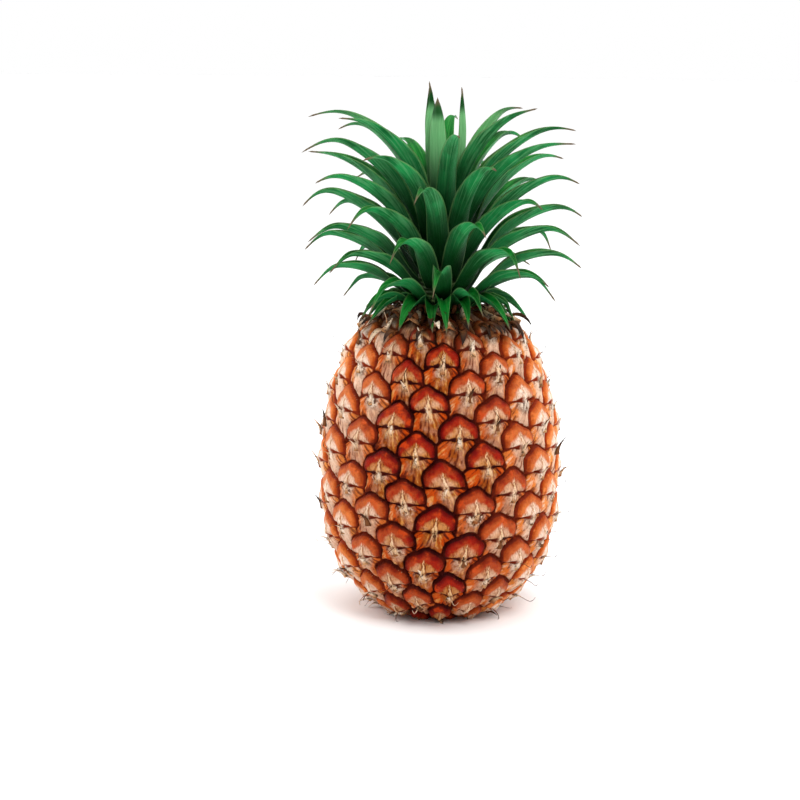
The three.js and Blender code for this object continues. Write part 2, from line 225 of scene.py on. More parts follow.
def eye_fields(arc, azimuth):
    """For every point of the skin, which eye it belongs to and where in it the point lies. An eye
    owns the inside of its dome, and below that whatever lies nearest to the middle of its bract.
    Lengths count inwards from the edge of a dome, so they are below 0 on a bract."""
    shape = np.broadcast(arc, azimuth).shape
    far_outside, far_away = -50.0, 1e3
    inside = np.full(shape, far_outside)
    dome_owner = np.zeros(shape, int)
    nearest = np.full(shape, far_away)
    second = np.full(shape, far_away)
    bract_owner = np.zeros(shape, int)
    arch = np.full(shape, far_outside)
    for eye in range(eye_count):
        across, up = place_in_eye(arc, azimuth, eye)
        depth = dome_depth(across, up, eye_marks[eye])
        within = np.minimum(depth, up + CREASE_BEND * (across / DOME_HALF_WIDTH) ** 2)
        dome_owner = np.where(within > inside, eye, dome_owner)
        inside = np.maximum(inside, within)
        arch = np.maximum(arch, np.where(up > 0, depth, far_outside))
        from_bract = np.hypot(across / BRACT_BREADTH, up + BRACT_DROP)
        closer = from_bract < nearest
        second = np.where(closer, nearest, np.minimum(second, from_bract))
        bract_owner = np.where(closer, eye, bract_owner)
        nearest = np.minimum(nearest, from_bract)
    owner = np.where(inside > 0, dome_owner, bract_owner)
    across, up = place_in_eye(arc, azimuth, owner)
    bract_edge = np.minimum((second - nearest) * BRACT_BORDER, -arch)
    edge = np.where(inside > 0, inside, -np.minimum(bract_edge, -inside))
    return owner, across, up, edge, bract_edge


GROOVE_FLOOR = -1.9
RIM_WIDTH = 3.4
RIM_RISE = 3.3
DOME_SWELL = 1.7
SWELL_DEPTHS = (2, 9)
SWELL_HEIGHT = 6
MIDDLE_SINK = 0.7
SINK_DEPTHS = (3.2, 5.5)
RIDGE_WIDTH = 1.6
DOME_CREASE_DEPTH = 0.9
DOME_CREASE_HEIGHT = 0.9
DOME_CREASE_SIDES = (0.5, 2.5)
BRACT_RISE = 2.7
BRACT_SLOPE_LENGTH = 1.7
BEAK_ROOT_RISE = 1.5
BEAK_ROOT_DROP = 1.5
BEAK_ROOT_WIDTH = 3.2
BEAK_ROOT_HEIGHT = 4
WRINKLE_HEIGHT = 0.28
WRINKLE_RATE = 26
WRINKLE_DROPS = (0.5, 3)
FAN_MIDDLE = 4
BRACT_CREASE_DEPTH = 0.8
BRACT_CREASE_HEIGHT = 0.7
BRACT_CREASE_SIDES = (1, 2.5)


def skin_lift(owner, across, up, edge, bract_edge):
    """Height of the skin over its middle line. A dome climbs from the groove along a quarter circle,
    swells above the crease, and sinks a little on both sides of a low ridge up its middle. A bract
    rises as 1 - exp(-edge / length), more at the beak's root, with wrinkles that fan out below it.
    Both dip to the crease, apart from its middle."""
    rim = dome_depth(across, up, eye_marks[owner])
    off_middle = np.abs(across)
    climb = np.clip(rim / RIM_WIDTH, 0, 1)
    dome = GROOVE_FLOOR + RIM_RISE * np.sqrt(1 - (1 - climb) ** 2)
    dome += DOME_SWELL * smooth_step(rim, *SWELL_DEPTHS) * bell(up, SWELL_HEIGHT)
    dome -= MIDDLE_SINK * smooth_step(rim, *SINK_DEPTHS) * (1 - bell(across, RIDGE_WIDTH))
    dome_crease = bell(up, DOME_CREASE_HEIGHT) * smooth_step(off_middle, *DOME_CREASE_SIDES)
    dome -= DOME_CREASE_DEPTH * dome_crease
    fan = np.arctan2(across, FAN_MIDDLE - up)
    wrinkles = np.sin(fan * WRINKLE_RATE + 3 * eye_marks[owner])
    bract = GROOVE_FLOOR + BRACT_RISE * (1 - np.exp(-np.maximum(bract_edge, 0) / BRACT_SLOPE_LENGTH))
    beak_root = bell(across, BEAK_ROOT_WIDTH) * bell(up + BEAK_ROOT_DROP, BEAK_ROOT_HEIGHT)
    bract += BEAK_ROOT_RISE * beak_root
    bract += WRINKLE_HEIGHT * wrinkles * smooth_step(-up, *WRINKLE_DROPS)
    bract_crease = bell(up, BRACT_CREASE_HEIGHT) * smooth_step(off_middle, *BRACT_CREASE_SIDES)
    bract -= BRACT_CREASE_DEPTH * bract_crease
    return np.where(edge > 0, dome, bract) * eye_swells[owner]


def closed_mesh(name, points, attributes=None):
    """A closed smooth mesh from a grid of points in millimetres. Columns join up into rings, and the
    first and the last row are single points. Attributes are grids of vectors of the same size."""
    rows, columns = points.shape[:2]
    ring = np.arange(columns)
    row_starts = 1 + columns * np.arange(rows - 3)[:, None]
    here = row_starts + ring
    beside = row_starts + np.roll(ring, -1)
    quads = np.stack([here, beside, beside + columns, here + columns], axis=-1).reshape(-1, 4)
    last = 1 + columns * (rows - 2)
    first_fan = np.stack([np.zeros(columns, int), 1 + np.roll(ring, -1), 1 + ring], axis=1)
    top_ring = last - columns + ring
    last_fan = np.stack([top_ring, last - columns + np.roll(ring, -1), np.full(columns, last)], axis=1)

    def single_ends(grid):
        return np.concatenate([grid[0, :1], grid[1:-1].reshape(-1, 3), grid[-1, :1]])

    mesh = bpy.data.meshes.new(name)
    corners = single_ends(points) * METRES_PER_MM
    mesh.from_pydata(corners, [], first_fan.tolist() + quads.tolist() + last_fan.tolist())
    for label, grid in (attributes or {}).items():
        layer = mesh.attributes.new(label, "FLOAT_VECTOR", "POINT")
        layer.data.foreach_set("vector", single_ends(grid).astype(np.float32).ravel())
    mesh.polygons.foreach_set("use_smooth", np.ones(len(mesh.polygons), bool))
    mesh.update()
    return mesh


def add_piece(name, mesh, material, slot, *nodes):
    """Puts a mesh in the scene as a piece that rides on the root body, in place of CAD nodes."""
    piece = bpy.data.objects.new(name, mesh)
    bpy.context.scene.collection.objects.link(piece)
    piece.data.materials.append(material)
    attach(piece, "root")
    if nodes:
        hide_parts(*nodes)
    return piece


def colour(red, green, blue):
    """A display colour, 0 to 255 a channel, as the linear colour that a shader takes."""
    share = np.array([red, green, blue]) / 255
    linear = np.where(share <= 0.04045, share / 12.92, ((share + 0.055) / 1.055) ** 2.4)
    return (*linear.tolist(), 1.0)


def add_node(tree, kind, inputs, **settings):
    """A node with its settings made and its inputs filled by values or by other nodes' outputs."""
    node = tree.nodes.new(kind)
    for name, value in settings.items():
        setattr(node, name, value)
    for key, value in inputs.items():
        if isinstance(value, bpy.types.NodeSocket):
            tree.links.new(value, node.inputs[key])
        else:
            node.inputs[key].default_value = value
    return node


def reckon(tree, operation, *values):
    """The outcome of one sum or function."""
    return add_node(tree, "ShaderNodeMath", dict(enumerate(values)), operation=operation).outputs[0]


def ease(tree, value, low, high):
    """0 where a value is at low, 1 where it is at high, and a smooth change between them."""
    limits = {"Value": value, "From Min": low, "From Max": high}
    return add_node(tree, "ShaderNodeMapRange", limits, interpolation_type="SMOOTHSTEP").outputs[0]


def times(tree, first, second):
    """One number times another."""
    return reckon(tree, "MULTIPLY", first, second)


def blend(tree, share, first, second):
    """A colour between two others."""
    inputs = {"Factor": share, 6: first, 7: second}
    return add_node(tree, "ShaderNodeMix", inputs, data_type="RGBA").outputs[2]


def between(tree, share, ends):
    """A colour between two display colours."""
    return blend(tree, share, colour(*ends[0]), colour(*ends[1]))


def grain(tree, where, scale, detail=3.0, roughness=0.55):
    """Soft noise about 0.5."""
    inputs = {"Vector": where, "Scale": scale, "Detail": detail, "Roughness": roughness}
    return add_node(tree, "ShaderNodeTexNoise", inputs).outputs["Fac"]


def parts_of(tree, attribute):
    """The three numbers of a mesh attribute."""
    source = add_node(tree, "ShaderNodeAttribute", {}, attribute_name=attribute)
    return add_node(tree, "ShaderNodeSeparateXYZ", {0: source.outputs["Vector"]}).outputs


def vector_of(tree, x, y, z=0.0):
    """Three numbers as one vector."""
    return add_node(tree, "ShaderNodeCombineXYZ", {0: x, 1: y, 2: z}).outputs[0]


def distance_of(tree, x, y):
    """The length of a flat vector."""
    flat = vector_of(tree, x, y)
    return add_node(tree, "ShaderNodeVectorMath", {0: flat}, operation="LENGTH").outputs["Value"]


def new_material(name, gloss):
    """A material with its shader, which mirrors as much as its gloss says, and each point's place."""
    material = bpy.data.materials.new(name)
    material.use_nodes = True
    tree = material.node_tree
    shader = tree.nodes["Principled BSDF"]
    shader.inputs["Specular IOR Level"].default_value = gloss
    place = add_node(tree, "ShaderNodeTexCoord", {}).outputs["Object"]
    return material, tree, shader, place


def finish_material(tree, shader, base, roughness, relief, relief_height):
    """Joins a colour, a roughness and a relief in metres to the shader."""
    tree.links.new(base, shader.inputs["Base Color"])
    tree.links.new(roughness, shader.inputs["Roughness"])
    inputs = {"Height": relief, "Distance": relief_height, "Strength": 1.0}
    bump = add_node(tree, "ShaderNodeBump", inputs)
    tree.links.new(bump.outputs[0], shader.inputs["Normal"])


# Colours of the rind. A pair holds the colour on the deepest red eyes and the one on the palest
# eyes, apart from the scurf's, which holds its dark mottle and its pale one.
OUTER_DOME = ((98, 4, 2), (196, 84, 20))
INNER_DOME = ((148, 26, 4), (232, 136, 66))
BRIGHT_DOME = (188, 54, 6)
DARK_WING = ((104, 34, 4), (220, 156, 104))
PALE_WING = ((176, 104, 40), (255, 236, 218))
LOBE = ((206, 142, 84), (254, 236, 224))
TAN_BRACT = ((150, 72, 18), (250, 212, 182))
ORANGE_BRACT = ((186, 66, 4), (236, 146, 70))
DARK_WRINKLE = ((74, 14, 4), (150, 78, 44))
PALE_WRINKLE = ((212, 144, 68), (252, 226, 208))
PALE_FIBRE = ((220, 176, 126), (255, 240, 226))
# The groove colour is partly the skin's own dark colour and partly painted shade in the hollows between
# the eyes.
GROOVE_AND_SHADE = ((46, 1, 1), (146, 46, 12))
SCURF = ((66, 34, 24), (226, 204, 182))
PORES = (84, 16, 6)
# The near black brown round the seat of the crown is painted shade under the crown.
SEAT_PAINTED_SHADE = (44, 26, 10)

RIND_GLOSS = 0.06
PATCH_GRAIN = 170
WOBBLE_GRAIN = 230
SCURF_GRAIN = 520
FINE_GRAIN = 900
GROOVE_WIDTH = 1.15
CREASE_END_WIDTH = 0.65
CREASE_THICKENING = 1.0
PATCHINESS = 0.9
SEAT_SHADE_METRES = (0.136, 0.150)
RIND_RELIEF_METRES = 0.0006


def rind_material():
    """Waxy red to orange domes with fibrous tan wings, tan bracts with fanned wrinkles, grooves between
    them darkened nearly to black, partly their own colour and partly painted shade, and pale dry scurf
    round the beaks. Round the seat of the crown the skin gets painted shade. The places in an eye and
    the limits set on them are in millimetres, and wobble makes every outline uneven."""
    material, tree, shader, place = new_material("waxy_rind", RIND_GLOSS)
    across, up, edge = parts_of(tree, "eye_place")
    rim, even_tone, mark = parts_of(tree, "eye_look")
    on_crease, on_beak, on_fibres = parts_of(tree, "eye_parts")
    wobble = reckon(tree, "SUBTRACT", grain(tree, place, WOBBLE_GRAIN, 4), 0.5)
    fine = grain(tree, place, FINE_GRAIN, 4, 0.65)
    width = reckon(tree, "ABSOLUTE", across)
    patches = reckon(tree, "SUBTRACT", grain(tree, place, PATCH_GRAIN, 3), 0.5)
    tone = reckon(tree, "MULTIPLY_ADD", patches, PATCHINESS, even_tone)

    # The dome: dark red outside, orange inside, with bright patches.
    rim_depth = reckon(tree, "MULTIPLY_ADD", wobble, 3.6, rim)
    outer = between(tree, tone, OUTER_DOME)
    inner = between(tree, tone, INNER_DOME)
    ring = blend(tree, ease(tree, rim_depth, 1.0, 3.6), outer, inner)
    bright = blend(tree, tone, colour(*BRIGHT_DOME), inner)
    ring = blend(tree, ease(tree, patches, 0.04, 0.16), ring, bright)

    # Two tan wings over the beak, streaked upwards, each with a pale lobe in its middle.
    fibre_place = vector_of(tree, times(tree, across, 1.3), times(tree, up, 0.4))
    fibres = grain(tree, fibre_place, 1.0, 4)
    dark_wing = between(tree, tone, DARK_WING)
    pale_wing = between(tree, tone, PALE_WING)
    wings = blend(tree, ease(tree, fibres, 0.38, 0.62), dark_wing, pale_wing)
    across_lobe = reckon(tree, "SUBTRACT", width, 3.4)
    from_lobe = distance_of(tree, across_lobe, reckon(tree, "MULTIPLY_ADD", up, 0.8, -2.6))
    lobe = ease(tree, reckon(tree, "MULTIPLY_ADD", wobble, 6.0, from_lobe), 2.8, 0.8)
    wings = blend(tree, times(tree, lobe, 0.6), wings, between(tree, tone, LOBE))
    uneven_up = reckon(tree, "MULTIPLY_ADD", wobble, 5.0, up)
    from_wings = reckon(tree, "MULTIPLY_ADD", width, 0.75, uneven_up)
    wing_share = times(tree, ease(tree, from_wings, 8.4, 5.8), ease(tree, rim_depth, 2.2, 3.8))
    dome = blend(tree, wing_share, ring, wings)

    # The bract: tan, orange at its sides, with dark and pale wrinkles that fan out from the beak.
    fan = reckon(tree, "ARCTAN2", across, reckon(tree, "SUBTRACT", FAN_MIDDLE, up))
    fan_place = vector_of(tree, times(tree, fan, 6.5), times(tree, up, 0.16), mark)
    wrinkles = grain(tree, fan_place, 1.0, 3)
    uneven_width = reckon(tree, "MULTIPLY_ADD", wobble, 8.0, width)
    tan = between(tree, tone, TAN_BRACT)
    orange = between(tree, tone, ORANGE_BRACT)
    bract = blend(tree, ease(tree, uneven_width, 3.0, 6.5), tan, orange)
    dark_share = times(tree, ease(tree, wrinkles, 0.48, 0.36), 0.9)
    bract = blend(tree, dark_share, bract, between(tree, tone, DARK_WRINKLE))
    pale_share = times(tree, ease(tree, wrinkles, 0.54, 0.68), 0.75)
    bract = blend(tree, pale_share, bract, between(tree, tone, PALE_WRINKLE))

    # Dry scurf below and round the beak, mottled pale grey and black-brown.
    near_beak = ease(tree, distance_of(tree, across, reckon(tree, "ADD", up, 2.2)), 6.0, 1.5)
    scurfy = ease(tree, reckon(tree, "ADD", mark, wobble), 0.3, 0.95)
    scurf = between(tree, ease(tree, grain(tree, place, SCURF_GRAIN, 3), 0.44, 0.58), SCURF)
    bract = blend(tree, times(tree, near_beak, scurfy), bract, scurf)

    skin = blend(tree, ease(tree, edge, -0.25, 0.25), bract, dome)
    skin = blend(tree, times(tree, ease(tree, fine, 0.5, 0.3), 0.35), skin, colour(*PORES))

    # Pale fibres run up the middle of the dome from the beak, wider downwards.
    fibre_width = reckon(tree, "MULTIPLY_ADD", up, -0.2, 1.7)
    off_middle = reckon(tree, "ABSOLUTE", reckon(tree, "MULTIPLY_ADD", wobble, 3.6, across))
    pale_fibre = ease(tree, reckon(tree, "DIVIDE", off_middle, fibre_width), 1.0, 0.5)
    frayed = times(tree, on_fibres, ease(tree, fibres, 0.4, 0.52))
    skin = blend(tree, times(tree, pale_fibre, frayed), skin, between(tree, tone, PALE_FIBRE))

    # The dark groove round the eye, partly the skin's own colour and partly painted shade in the hollow.
    # Along the crease it is thickest beside the beak.
    beside_beak = ease(tree, width, 5.5, 2.0)
    thinner_ends = CREASE_END_WIDTH - GROOVE_WIDTH
    stroke = reckon(tree, "MULTIPLY_ADD", beside_beak, CREASE_THICKENING, thinner_ends)
    groove_width = reckon(tree, "MULTIPLY_ADD", on_crease, stroke, GROOVE_WIDTH)
    edge_distance = reckon(tree, "ABSOLUTE", reckon(tree, "MULTIPLY_ADD", wobble, 1.1, edge))
    groove_and_shade = ease(tree, reckon(tree, "DIVIDE", edge_distance, groove_width), 1.0, 0.45)
    groove_and_shade = times(tree, groove_and_shade, reckon(tree, "SUBTRACT", 1.0, on_beak))
    skin = blend(tree, groove_and_shade, skin, between(tree, tone, GROOVE_AND_SHADE))

    # Painted shade under the crown: round the seat of the crown the skin is darkened to a dull, near
    # black brown.
    height = add_node(tree, "ShaderNodeSeparateXYZ", {0: place}).outputs[2]
    uneven_height = reckon(tree, "MULTIPLY_ADD", wobble, 0.02, height)
    seat_shade_share = ease(tree, uneven_height, *SEAT_SHADE_METRES)
    skin = blend(tree, times(tree, seat_shade_share, 0.85), skin, colour(*SEAT_PAINTED_SHADE))

    # Bracts are rougher than domes. Their wrinkles and the domes' fibres stand up a little.
    rough = reckon(tree, "MULTIPLY_ADD", ease(tree, edge, 0.5, 0.0), 0.25, 0.36)
    rough = reckon(tree, "MULTIPLY_ADD", fine, 0.12, rough)
    wrinkle_height = times(tree, ease(tree, edge, 0.0, -0.8), 1.5)
    relief = reckon(tree, "MULTIPLY_ADD", wrinkles, wrinkle_height, fine)
    fibre_height = times(tree, ease(tree, rim_depth, 3.0, 5.0), 0.8)
    relief = reckon(tree, "MULTIPLY_ADD", fibres, fibre_height, relief)
    finish_material(tree, shader, skin, rough, relief, RIND_RELIEF_METRES)
    return material


side_arcs = np.linspace(foot_arc, seat_arc, SKIN_ROWS)[:, None]
side_azimuths = np.linspace(0, 2 * np.pi, SKIN_COLUMNS, endpoint=False)[None, :]
owner, across, up, edge, bract_edge = eye_fields(side_arcs, side_azimuths)
lift = skin_lift(owner, across, up, edge, bract_edge)
side = skin_point(side_arcs, side_azimuths, lift)


def level_ring(radius, height):
    """One row of the fruit's grid: a level circle."""
    return round_axis(radius, side_azimuths, height)


socket_floor = FRUIT_HEIGHT - STEM_SOCKET_DEPTH
foot_rows = [
    level_ring(0, STALK_SOCKET_HEIGHT),
    level_ring(STALK_SOCKET_RADIUS, STALK_SOCKET_HEIGHT),
    level_ring(STALK_SOCKET_RADIUS, 0),
    level_ring((STALK_SOCKET_RADIUS + FOOT_RADIUS) / 2, 0),
]
seat_rows = [
    level_ring(STEM_SOCKET_RADIUS, FRUIT_HEIGHT),
    level_ring(STEM_SOCKET_RADIUS, socket_floor),
    level_ring(0, socket_floor),
]


def over_whole_fruit(grid):
    """Values of the side, repeated onto the rows of the foot below it and of the seat above it."""
    on_foot = np.repeat(grid[:1], len(foot_rows), axis=0)
    on_seat = np.repeat(grid[-1:], len(seat_rows), axis=0)
    return np.concatenate([on_foot, grid, on_seat])


# Where in an eye the crease, the beak's root and the fibres over it lie. Each pair is the two
# distances from the middle of the crease between which a part fades in or out.
RIM_LIMITS = (-6, 12)
CREASE_HEIGHTS = (1.4, 2.8)
CREASE_ENDS = (6.5, 9)
BEAK_ROOT_SIDES = (0.9, 1.9)
FIBRE_SIDES = (2.8, 4.5)
FIBRE_FOOT = (-6.5, -2.5)
FIBRE_TOP = (6, 8)

off_middle = np.abs(across)
rim = np.clip(dome_depth(across, up, eye_marks[owner]), *RIM_LIMITS)
beside_crease = 1 - smooth_step(np.abs(up), *CREASE_HEIGHTS)
on_crease = beside_crease * (1 - smooth_step(off_middle, *CREASE_ENDS))
on_beak = beside_crease * (1 - smooth_step(off_middle, *BEAK_ROOT_SIDES))
on_fibres = smooth_step(up, *FIBRE_FOOT) * (1 - smooth_step(up, *FIBRE_TOP))
on_fibres = on_fibres * (1 - smooth_step(off_middle, *FIBRE_SIDES))
fruit_mesh = closed_mesh(
    "fused_eyes",
    np.concatenate([*foot_rows, side, *seat_rows]),
    {
        "eye_place": over_whole_fruit(np.stack([across, up, edge], axis=-1)),
        "eye_look": over_whole_fruit(np.stack([rim, eye_tones[owner], eye_marks[owner]], axis=-1)),
        "eye_parts": over_whole_fruit(np.stack([on_crease, on_beak, on_fibres], axis=-1)),
    },
)
add_piece("fused_eyes", fruit_mesh, rind_material(), "rind", "fruit")

# ---------------------------------------------------------------------------------------------
# The beaks. Each bract ends in a dry, pale, pointed beak that stands on the middle of its eye, and
# most beaks trail a thin dry wisp. They grow out of the bract, and are folded along their middle.
# ---------------------------------------------------------------------------------------------

BARE_MARGIN = 4
BEAK_ROWS = 7
BEAK_LENGTH = 7.5
BEAK_LENGTH_SHARES = (0.7, 1.25)
BEAK_START = -4.6
BEAK_ROOT_LIFT = 0.9
BEAK_STANDS = (1.8, 6.0)
BEAK_CURLS = (-2.0, 2.0)
BEAK_DROOPS = (0, 2.5)
BEAK_HALF_WIDTH = 1.9
BEAK_WIDTH_SHARES = (0.7, 1.3)
BEAK_FOLD = 0.7
BEAK_THICKNESS = 0.5
BROWN_BEAK_SHARE = 0.22
NEAR_CROWN = (34, 10)
CROWN_LENGTHENING = 0.6
CROWN_WIDENING = 0.9
LOWEST_POINT = 0.1

# The four corners of a flat diamond, as shares of its half width and of its half thickness.
DIAMOND_TURNS = np.array([0, 0.5, 1, 1.5]) * np.pi
DIAMOND_ACROSS = np.cos(DIAMOND_TURNS)
DIAMOND_OUT = np.sin(DIAMOND_TURNS)


def skin_frames(arcs, azimuths):
    """The middle of each eye on the skin line, with its outward, rightward and upward directions."""
    slope_out, slope_up = (np.interp(arcs, OUTLINE_ARCS, slopes) for slopes in OUTLINE_SLOPES.T)
    outward = round_axis(slope_up, azimuths, -slope_out)
    upward = round_axis(slope_out, azimuths, slope_up)
    rightward = np.stack([-np.sin(azimuths), np.cos(azimuths), 0 * azimuths], axis=1)
    return skin_point(arcs, azimuths, 0 * arcs), outward, rightward, upward


def joined_mesh(name, grids, attribute, values):
    """One mesh in metres from many grids of the same size, shaped (pieces, rows, columns, 3). Their
    columns join up into rings, and one face closes each end. Values are vectors, one to a point."""
    count, rows, columns = grids.shape[:3]
    ring = np.arange(columns)
    here = columns * np.arange(rows - 1)[:, None] + ring
    beside = columns * np.arange(rows - 1)[:, None] + np.roll(ring, -1)
    quads = np.stack([here, beside, beside + columns, here + columns], axis=-1).reshape(-1, 4)
    starts = rows * columns * np.arange(count)
    root_caps = starts[:, None] + ring[::-1]
    tip_caps = starts[:, None] + columns * (rows - 1) + ring
    sides = (starts[:, None, None] + quads).reshape(-1, 4)
    mesh = bpy.data.meshes.new(name)
    faces = sides.tolist() + root_caps.tolist() + tip_caps.tolist()
    mesh.from_pydata(grids.reshape(-1, 3) * METRES_PER_MM, [], faces)
    layer = mesh.attributes.new(attribute, "FLOAT_VECTOR", "POINT")
    layer.data.foreach_set("vector", values.astype(np.float32).ravel())
    mesh.polygons.foreach_set("use_smooth", np.ones(len(mesh.polygons), bool))
    mesh.update()
    return mesh


seen = (eye_arcs > foot_arc + BARE_MARGIN) & (eye_arcs < seat_arc - BARE_MARGIN)
beak_chance = np.random.default_rng(11)
beak_count = int(seen.sum())
middles, outward, rightward, upward = skin_frames(eye_arcs[seen], eye_azimuths[seen])
beak_frames = np.stack([rightward, upward, outward], axis=1)


def placed(local, middles, frames):
    """Points given as (right, up, out) of each eye, moved to where the eye is, and not below the
    level that the fruit stands on."""
    points = middles[:, None, None, :] + np.einsum("nrcd,nde->nrce", local, frames)
    points[..., 2] = np.maximum(points[..., 2], LOWEST_POINT)
    return points


def beak_grids():
    """A beak's half width shrinks as (1 - 0.96 t) ** 0.8. Its middle line climbs out of the bract as
    t ** 1.7, curls to a side as t ** 2 and droops as t ** 4. Its section is a flat diamond with its
    middle raised in a fold. Beaks are longer and wider near the crown."""
    t = np.linspace(0, 1, BEAK_ROWS)[None, :, None]
    shape = (beak_count, 1, 1)
    from_crown = seat_arc - eye_arcs[seen]
    near_crown = smooth_step(from_crown, *NEAR_CROWN)[:, None, None]
    length = BEAK_LENGTH * beak_chance.uniform(*BEAK_LENGTH_SHARES, shape)
    length = length * (1 + CROWN_LENGTHENING * near_crown)
    stand = beak_chance.uniform(*BEAK_STANDS, shape)
    curl = beak_chance.uniform(*BEAK_CURLS, shape)
    droop = beak_chance.uniform(*BEAK_DROOPS, shape)
    half_width = BEAK_HALF_WIDTH * (1 - 0.96 * t) ** 0.8 * beak_chance.uniform(*BEAK_WIDTH_SHARES, shape)
    half_width = half_width * (1 + CROWN_WIDENING * near_crown)
    fold = BEAK_FOLD * (1 - np.abs(DIAMOND_ACROSS)) * half_width
    across = curl * t**2 + half_width * DIAMOND_ACROSS
    up = BEAK_START + length * t - droop * t**4
    out = BEAK_ROOT_LIFT + stand * t**1.7 + fold + BEAK_THICKNESS * (1 - 0.7 * t) * DIAMOND_OUT
    return np.stack(np.broadcast_arrays(across, up, out), axis=-1)


# Colours of the dry parts, from those of the darkest to those of the palest, and, for the browned
# share, from the root to the tip.
DRY_ROOT = ((138, 70, 26), (200, 148, 98))
DRY_TIP = ((196, 150, 104), (240, 222, 200))
DRY_FLECKS = (98, 74, 54)
BROWNED = ((112, 66, 34), (40, 26, 18))
DRY_GLOSS = 0.15
DRY_RELIEF_METRES = 0.0004


def dry_material():
    """Papery: tan at the root and bleached at the tip, with brown flecks. The browned share is dark
    from its root to a black-brown tip."""
    material, tree, shader, place = new_material("dry_beak", DRY_GLOSS)
    along, chance, dark = parts_of(tree, "dry_place")
    flecks = grain(tree, place, FINE_GRAIN, 3, 0.6)
    root = between(tree, chance, DRY_ROOT)
    tip = between(tree, chance, DRY_TIP)
    base = blend(tree, ease(tree, along, 0.05, 0.5), root, tip)
    base = blend(tree, ease(tree, flecks, 0.48, 0.36), base, colour(*DRY_FLECKS))
    browned = between(tree, ease(tree, along, 0.2, 0.9), BROWNED)
    base = blend(tree, dark, base, browned)
    rough = reckon(tree, "MULTIPLY_ADD", flecks, 0.15, 0.62)
    finish_material(tree, shader, base, rough, flecks, DRY_RELIEF_METRES)
    return material


def dry_values(count, rows, columns, dark_share):
    """How far along a beak or wisp a point is, a chance number, and 1 for the browned share."""
    along = np.linspace(0, 1, rows)[None, :, None]
    chance = beak_chance.uniform(0, 1, (count, 1, 1))
    shape = (count, rows, columns)
    dark = beak_chance.uniform(0, 1, (count, 1, 1)) < dark_share
    return np.stack([np.broadcast_to(grid, shape) for grid in (along, chance, dark)], axis=-1)


dry = dry_material()
beaks = placed(beak_grids(), middles, beak_frames)
beak_values = dry_values(*beaks.shape[:3], BROWN_BEAK_SHARE)
beak_mesh = joined_mesh("dry_beaks", beaks, "dry_place", beak_values)
add_piece("dry_beaks", beak_mesh, dry, "rind")

WISP_ROWS = 8
WISP_SIDES = 3
WISP_SHARE = 0.85
BROWN_WISP_SHARE = 0.8
WISP_LENGTHS = (4, 9)
WISP_SIDEWAYS = (-5, 5)
WISP_DROPS = (-3, 5)
WISP_STANDS = (4, 8.5)
WISP_START = -0.5
WISP_ROOT_LIFT = 1.8
WISP_WAVE = 0.4
WISP_RADIUS = 0.5
WISP_THINNING = 0.85
has_wisp = beak_chance.uniform(0, 1, beak_count) < WISP_SHARE
wisp_count = int(has_wisp.sum())


def wisp_grids():
    """A wisp is a three-sided thread. Its middle line climbs by 0.55 t of its length, stands out as
    sin(1.9 t), bends to one side and down as t ** 2 and waves as sin(7 t). Its radius shrinks
    evenly to the tip."""
    t = np.linspace(0, 1, WISP_ROWS)[None, :, None]
    shape = (wisp_count, 1, 1)
    length = beak_chance.uniform(*WISP_LENGTHS, shape)
    sideways = beak_chance.uniform(*WISP_SIDEWAYS, shape)
    drop = beak_chance.uniform(*WISP_DROPS, shape)
    stand = beak_chance.uniform(*WISP_STANDS, shape)
    radius = WISP_RADIUS * (1 - WISP_THINNING * t)
    turn = np.arange(WISP_SIDES) * 2 * np.pi / WISP_SIDES
    across = sideways * t**2 + radius * np.cos(turn)
    up = WISP_START + 0.55 * length * t - drop * t**2 + WISP_WAVE * np.sin(7 * t)
    out = WISP_ROOT_LIFT + stand * np.sin(t * 1.9) + radius * np.sin(turn)
    return np.stack(np.broadcast_arrays(across, up, out), axis=-1)


wisps = placed(wisp_grids(), middles[has_wisp], beak_frames[has_wisp])
wisp_values = dry_values(*wisps.shape[:3], BROWN_WISP_SHARE)
wisp_mesh = joined_mesh("dry_wisps", wisps, "dry_place", wisp_values)
add_piece("dry_wisps", wisp_mesh, dry, "rind")

# ---------------------------------------------------------------------------------------------
# The cut stalk. The woody stub that the fruit was cut from, level with the foot, with a fibrous
# cut face that sinks a little towards its pith.
# ---------------------------------------------------------------------------------------------

stalk_low, stalk_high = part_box("cut_stalk")
STALK_RADIUS = (stalk_high.x - stalk_low.x) / 2 / METRES_PER_MM
STALK_HEIGHT = stalk_high.z / METRES_PER_MM
STALK_COLUMNS = 64
STALK_RING_RADII = np.array([0, 3, 6, 9, 11.2, 12, 12, 12, 11.6, 6, 0]) / 12
STALK_RING_HEIGHTS = np.array([0.9, 0.8, 0.5, 0.15, 0, 0.4, 3, 6, 9, 9, 9]) / 9
BARK_RIPPLE = 0.012
CUT_RIPPLE = 0.12
CUT_EDGE_RADIUS = 10
CUT_TOP = 2


def stalk_grid():
    """Rings from the pith outwards over the cut face, up the bark and back over the hidden top, as
    shares of the radius and the height. The bark's radius ripples as 1 + cos(11 azimuth), and the
    level of the cut face as sin(17 azimuth)."""
    azimuth = np.linspace(0, 2 * np.pi, STALK_COLUMNS, endpoint=False)[None, :]
    radius = STALK_RING_RADII[:, None] * STALK_RADIUS
    height = STALK_RING_HEIGHTS[:, None] * STALK_HEIGHT
    ripple = 1 - BARK_RIPPLE * (1 + np.cos(11 * azimuth)) * (radius > 0.9 * STALK_RADIUS)
    on_cut = (radius < CUT_EDGE_RADIUS) & (height < CUT_TOP) & (radius > 0)
    level = np.maximum(height + CUT_RIPPLE * np.sin(17 * azimuth) * on_cut, 0)
    return round_axis(radius * ripple, azimuth, level)


STALK_WOOD = ((176, 148, 96), (214, 192, 142))
STALK_BUNDLES = (124, 88, 48)
WOOD_GLOSS = 0.3
WOOD_RELIEF_METRES = 0.0003


